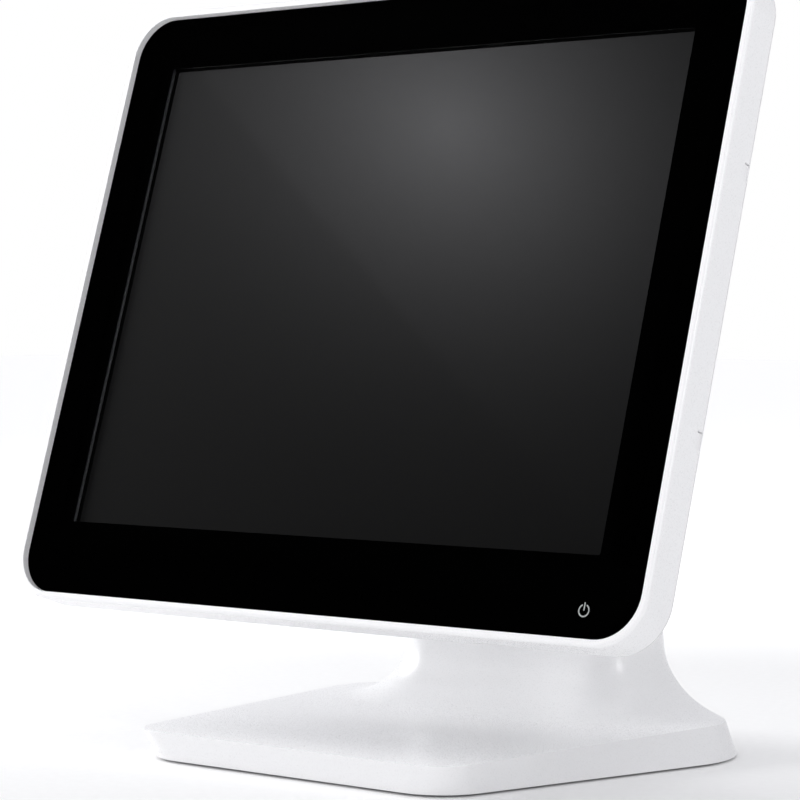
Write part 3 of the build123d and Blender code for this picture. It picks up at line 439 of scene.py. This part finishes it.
# ---------------------------------------------------------------- neck frame
# A bent strip of zinc plated steel, spot welded to the base plate, up through the neck.
finish_node("neck_frame", zinc)

# ---------------------------------------------------------------- hinge bracket
# A folded zinc plated bracket whose two ears hold the hinge; screwed to the neck frame.
finish_node("hinge_bracket", zinc)

# ---------------------------------------------------------------- hinge bracket screws
# Nickel plated screws through the bracket into the neck frame.
finish_node("hinge_bracket_screws", nickel)

# ---------------------------------------------------------------- hinge shafts
# Two ground steel shafts, riveted to the head's bracket, that turn in the ears.
ground = fine_metal("ground_steel", "8e9093", "a6a8ab", 0.3 * mm, 0.25, 0.4)
finish_node("hinge_shafts", ground)

# ---------------------------------------------------------------- hinge nuts
# Hexagon nuts of the same ground steel that set how stiffly the head tilts.
finish_node("hinge_nuts", ground)

# ---------------------------------------------------------------- disc springs
# Hardened cupped washers under the nuts, ground bright.
finish_node("disc_springs", ground)

# ---------------------------------------------------------------- friction washers
# Plain bronze washers on both sides of each ear.
finish_node("friction_washers", fine_metal("friction_bronze", "a3803f", "b8934c", 0.5 * mm, 0.3, 0.5))

# ---------------------------------------------------------------- head bracket
# A folded steel bracket in grey powder coat that carries the head on the two shafts.
finish_node("head_bracket", fine_metal("grey_coated_steel", "74777a", "85888b", 0.9 * mm, 0.45, 0.6))

# ---------------------------------------------------------------- bracket screws
# Nickel plated screws from the bracket into the chassis posts.
finish_node("bracket_screws", nickel)

# ---------------------------------------------------------------- bracket posts
# Four zinc plated steel posts pressed into the chassis plate.
finish_node("bracket_posts", zinc)

# ---------------------------------------------------------------- chassis plate
# A zinc plated sheet behind the display that everything in the head is fixed to.
finish_node("chassis_plate", zinc)

# ---------------------------------------------------------------- chassis screws
# Nickel plated screws through the plate's edge into the front frame.
finish_node("chassis_screws", nickel)

# ---------------------------------------------------------------- display brackets
# Narrow zinc plated strips that hold the display to the chassis plate.
finish_node("lcd_brackets", zinc)

# ---------------------------------------------------------------- display tray
# The display's white moulded tray, which holds its backlight.
finish_node("lcd_tray", dull_grain("white_backlight_tray", "dcdcda", "e8e8e6", 0.8 * mm, 0.5, 0.01 * mm))


# ---------------------------------------------------------------- display cell
# The panel itself: a matt polariser over black cells. Its surface spreads the front box
# into a broad grey glow, and its hard coat keeps a faint sharp edge of it.
def polariser():
    frost = 0.25 * mm
    material, tree = start_material("matt_polariser_film")
    place = add(tree, "TexCoord", {})
    frosting = add(tree, "TexNoise", {"Vector": place.outputs["Object"], "Scale": 1 / frost, "Detail": 2.0})
    spread = add(tree, "MapRange", {"Value": frosting.outputs["Fac"], "To Min": 0.40, "To Max": 0.46})
    tone = add(tree, "MixRGB", {
        "Fac": frosting.outputs["Fac"], "Color1": linear("030303"), "Color2": linear("040404"),
    })
    film = add(tree, "BsdfPrincipled", {
        "Base Color": tone.outputs["Color"], "Roughness": spread.outputs["Result"], "IOR": 1.5,
        "Specular IOR Level": 0.02, "Coat Weight": 1.0, "Coat Roughness": 0.03,
    })
    add(tree, "OutputMaterial", {"Surface": film.outputs["BSDF"]})
    return material


finish_node("lcd_cell", polariser())

# ---------------------------------------------------------------- display bezel
# The rolled steel frame folded round the display's edge.
finish_node("lcd_bezel", fine_metal("rolled_lcd_frame", "8d8f92", "9d9fa2", 2 * mm, 0.3, 0.42))


# ---------------------------------------------------------------- cover glass
# Strengthened glass, coated against reflections, faintly smeared; taped to the ledge.
def coated_glass():
    smear = 30 * mm
    material, tree = start_material("coated_cover_glass")
    place = add(tree, "TexCoord", {})
    smears = add(tree, "TexNoise", {"Vector": place.outputs["Object"], "Scale": 1 / smear, "Detail": 4.0})
    wiped = add(tree, "MapRange", {"Value": smears.outputs["Fac"], "To Min": 0.01, "To Max": 0.05})
    glass = add(tree, "BsdfPrincipled", {
        "Base Color": linear("050506"), "Roughness": wiped.outputs["Result"], "IOR": 1.5,
        "Specular IOR Level": 0.05, "Alpha": 0.03,
    })
    add(tree, "OutputMaterial", {"Surface": glass.outputs["BSDF"]})
    return material


finish_node("touch_glass", coated_glass())


# ---------------------------------------------------------------- border print
# The black ceramic border fired on the back of the glass, and a window in it.
def fired_print(name, dark, light, shine):
    """Ink printed on the back of the glass: finely speckled, without relief."""
    speck = 0.3 * mm
    material, tree = start_material(name)
    place = add(tree, "TexCoord", {})
    specks = add(tree, "TexNoise", {"Vector": place.outputs["Object"], "Scale": 1 / speck, "Detail": 2.0})
    tone = add(tree, "MixRGB", {
        "Fac": specks.outputs["Fac"], "Color1": linear(dark), "Color2": linear(light),
    })
    ink = add(tree, "BsdfPrincipled", {
        "Base Color": tone.outputs["Color"], "Roughness": 0.6, "Specular IOR Level": shine,
    })
    add(tree, "OutputMaterial", {"Surface": ink.outputs["BSDF"]})
    return material


finish_node("border_print", fired_print("black_ceramic_print", "000000", "020202", 0.0))

# ---------------------------------------------------------------- power mark
# The power symbol in grey ink, left open in the black border over its touch key.
finish_node("power_mark", fired_print("grey_ink_print", "a9acac", "b4b7b7", 0.1))

# ---------------------------------------------------------------- glass tape
# Black foam tape all round between the glass and the ledge.
finish_node("glass_tape", dull_grain("black_foam_tape", "121213", "1c1c1e", 0.4 * mm, 0.9, 0.05 * mm))


# ---------------------------------------------------------------- power key board
# The small green board of the touch key, stuck to the back of the glass.
def solder_mask():
    track = 2.2 * mm
    material, tree = start_material("green_solder_mask")
    place = add(tree, "TexCoord", {})
    tracks = add(tree, "TexVoronoi", {
        "Vector": place.outputs["Object"], "Scale": 1 / track,
    }, distance="MANHATTAN", feature="DISTANCE_TO_EDGE")
    edge = add(tree, "MapRange", {"Value": tracks.outputs["Distance"], "From Max": 0.12})
    tone = add(tree, "MixRGB", {
        "Fac": edge.outputs["Result"], "Color1": linear("0f4a2c"), "Color2": linear("14633a"),
    })
    board = add(tree, "BsdfPrincipled", {"Base Color": tone.outputs["Color"], "Roughness": 0.35})
    add(tree, "OutputMaterial", {"Surface": board.outputs["BSDF"]})
    return material


green = solder_mask()
finish_node("power_key_board", green)

# ---------------------------------------------------------------- mainboard
# Glass epoxy under green solder mask, its darker tracks showing through; on standoffs.
finish_node("mainboard", green)

# ---------------------------------------------------------------- touch controller
# A second small board with its one chip, beside the mainboard.
finish_node("touch_controller", green)

# ---------------------------------------------------------------- board standoffs
# Zinc plated threaded spacers pressed into the chassis plate.
finish_node("board_standoffs", zinc)

# ---------------------------------------------------------------- board screws
# Nickel plated screws through the mainboard into its standoffs.
finish_node("board_screws", nickel)

# ---------------------------------------------------------------- processor
# A black epoxy chip package soldered to the board.
finish_node("processor", dull_grain("black_epoxy_package", "161617", "202022", 0.4 * mm, 0.55, 0.01 * mm))

# ---------------------------------------------------------------- heatsink
# Extruded aluminium fins, anodised black, sprung down onto the processor.
finish_node("heatsink", fine_metal("black_anodised_aluminium", "1b1b1d", "28282b", 0.7 * mm, 0.35, 0.5))

# ---------------------------------------------------------------- memory socket
# A black nylon socket with two spring arms.
black_nylon = dull_grain("black_moulded_nylon", "101011", "1a1a1c", 0.5 * mm, 0.5, 0.02 * mm)
finish_node("memory_socket", black_nylon)

# ---------------------------------------------------------------- memory module
# A green board that clicks into the socket.
finish_node("memory_module", green)

# ---------------------------------------------------------------- port bracket
# The zinc plated plate in the port window that the connectors look through.
finish_node("port_bracket", zinc)

# ---------------------------------------------------------------- USB ports
# Three double sockets in tinned steel shells, soldered to the board's lower edge.
tinned = fine_metal("tinned_socket_shell", "b9bbbd", "cfd1d3", 1.5 * mm, 0.2, 0.35)
finish_node("usb_ports", tinned)


# ---------------------------------------------------------------- USB contacts
# Four gold plated leaves on each socket's tongue.
def strip(work, middle, size):
    """Adds a small block, its sides along the head's own directions."""
    block = bmesh.ops.create_cube(work, size=1.0)["verts"]
    leaning = Matrix((
        (1, 0, 0), (0, screen_back.y, screen_up.y), (0, screen_back.z, screen_up.z),
    )).to_4x4()
    place = Matrix.Translation(middle) @ leaning @ Matrix.Diagonal((*size, 1))
    bmesh.ops.transform(work, matrix=place, verts=block)


def middle_of(name):
    low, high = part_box(name)
    return (low + high) / 2


usb_middle = middle_of("usb_ports")
usb_pitch = 20 * mm
usb_row = 3.75 * mm
leaf = Vector((1.0, 0.1, 7.0)) * mm
tongue_half = 0.8 * mm
leaf_seats = (-3.5, -1.0, 1.0, 3.5)
leaf_drop = 1.5 * mm  # from the socket's middle towards its mouth
gold = fine_metal("gold_plated_contact", "c9a14a", "d8b45e", 0.4 * mm, 0.2, 0.35)
leaves = bmesh.new()
for port in (-1, 0, 1):
    for row in (-1, 1):
        for seat in leaf_seats:
            spot_x = Vector((port * usb_pitch + seat * mm, 0, 0))
            on_tongue = screen_back * (row * usb_row + tongue_half) - screen_up * leaf_drop
            strip(leaves, usb_middle + spot_x + on_tongue, leaf)
usb_leaves = place_mesh("usb_contacts", leaves, gold)
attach(usb_leaves, "head")

# ---------------------------------------------------------------- network port
# A tinned socket shell on the board's lower edge.
finish_node("lan_port", tinned)

# ---------------------------------------------------------------- network contacts
# Eight gold plated wires side by side along the back of the socket.
lan_middle = middle_of("lan_port")
wire = Vector((0.5, 0.4, 8.0)) * mm
wire_count = 8
wire_pitch = 1.02 * mm
wire_back = 3.6 * mm
wire_drop = 1.0 * mm
wires = bmesh.new()
for seat in range(wire_count):
    beside = Vector(((seat - (wire_count - 1) / 2) * wire_pitch, 0, 0))
    strip(wires, lan_middle + beside + screen_back * wire_back - screen_up * wire_drop, wire)
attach(place_mesh("lan_contacts", wires, gold), "head")

# ---------------------------------------------------------------- serial port
# A tinned nine pin socket shell on the board's lower edge.
finish_node("serial_port", tinned)

# ---------------------------------------------------------------- serial pins
# Nine gold plated pins in rows of five and four inside the shell.
serial_x = middle_of("serial_port").x
pin_pitch = 2.77 * mm
pin = Vector((1.0, 1.0, 6.0)) * mm
pin_row = 1.42 * mm  # from the middle to each row
pin_back = -0.5 * mm  # the serial socket's middle from the network socket's
pin_drop = 3.9 * mm
pin_round = 0.35 * mm
pins = bmesh.new()
for row, count in ((-1, 5), (1, 4)):
    for seat in range(count):
        pin_place = Vector((serial_x + (seat - (count - 1) / 2) * pin_pitch, lan_middle.y, lan_middle.z))
        strip(pins, pin_place + screen_back * (row * pin_row + pin_back) - screen_up * pin_drop, pin)
along = [edge for edge in pins.edges
         if abs((edge.verts[1].co - edge.verts[0].co).normalized().dot(screen_up)) > 0.9]
bmesh.ops.bevel(pins, geom=along, offset=pin_round, segments=3, profile=0.5, affect="EDGES")
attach(place_mesh("serial_pins", pins, gold), "head")

# ---------------------------------------------------------------- power inlet
# A black nylon barrel socket with its centre pin.
finish_node("dc_inlet", black_nylon)

# ---------------------------------------------------------------- speakers
# Two black moulded speakers behind the slots at the bottom of the cover.
finish_node("speakers", black_nylon)

# ---------------------------------------------------------------- drive guides
# Folded zinc plated rails that the drive tray runs in.
finish_node("drive_guides", zinc)

# ---------------------------------------------------------------- drive tray
# A black nylon tray that pulls out of the head's side by its lip.
finish_node("drive_tray", black_nylon)

# ---------------------------------------------------------------- storage drive
# A drive in a dull die cast case, carried by the tray.
finish_node("storage_drive", fine_metal("die_cast_drive_case", "808285", "989a9d", 1.2 * mm, 0.4, 0.55))
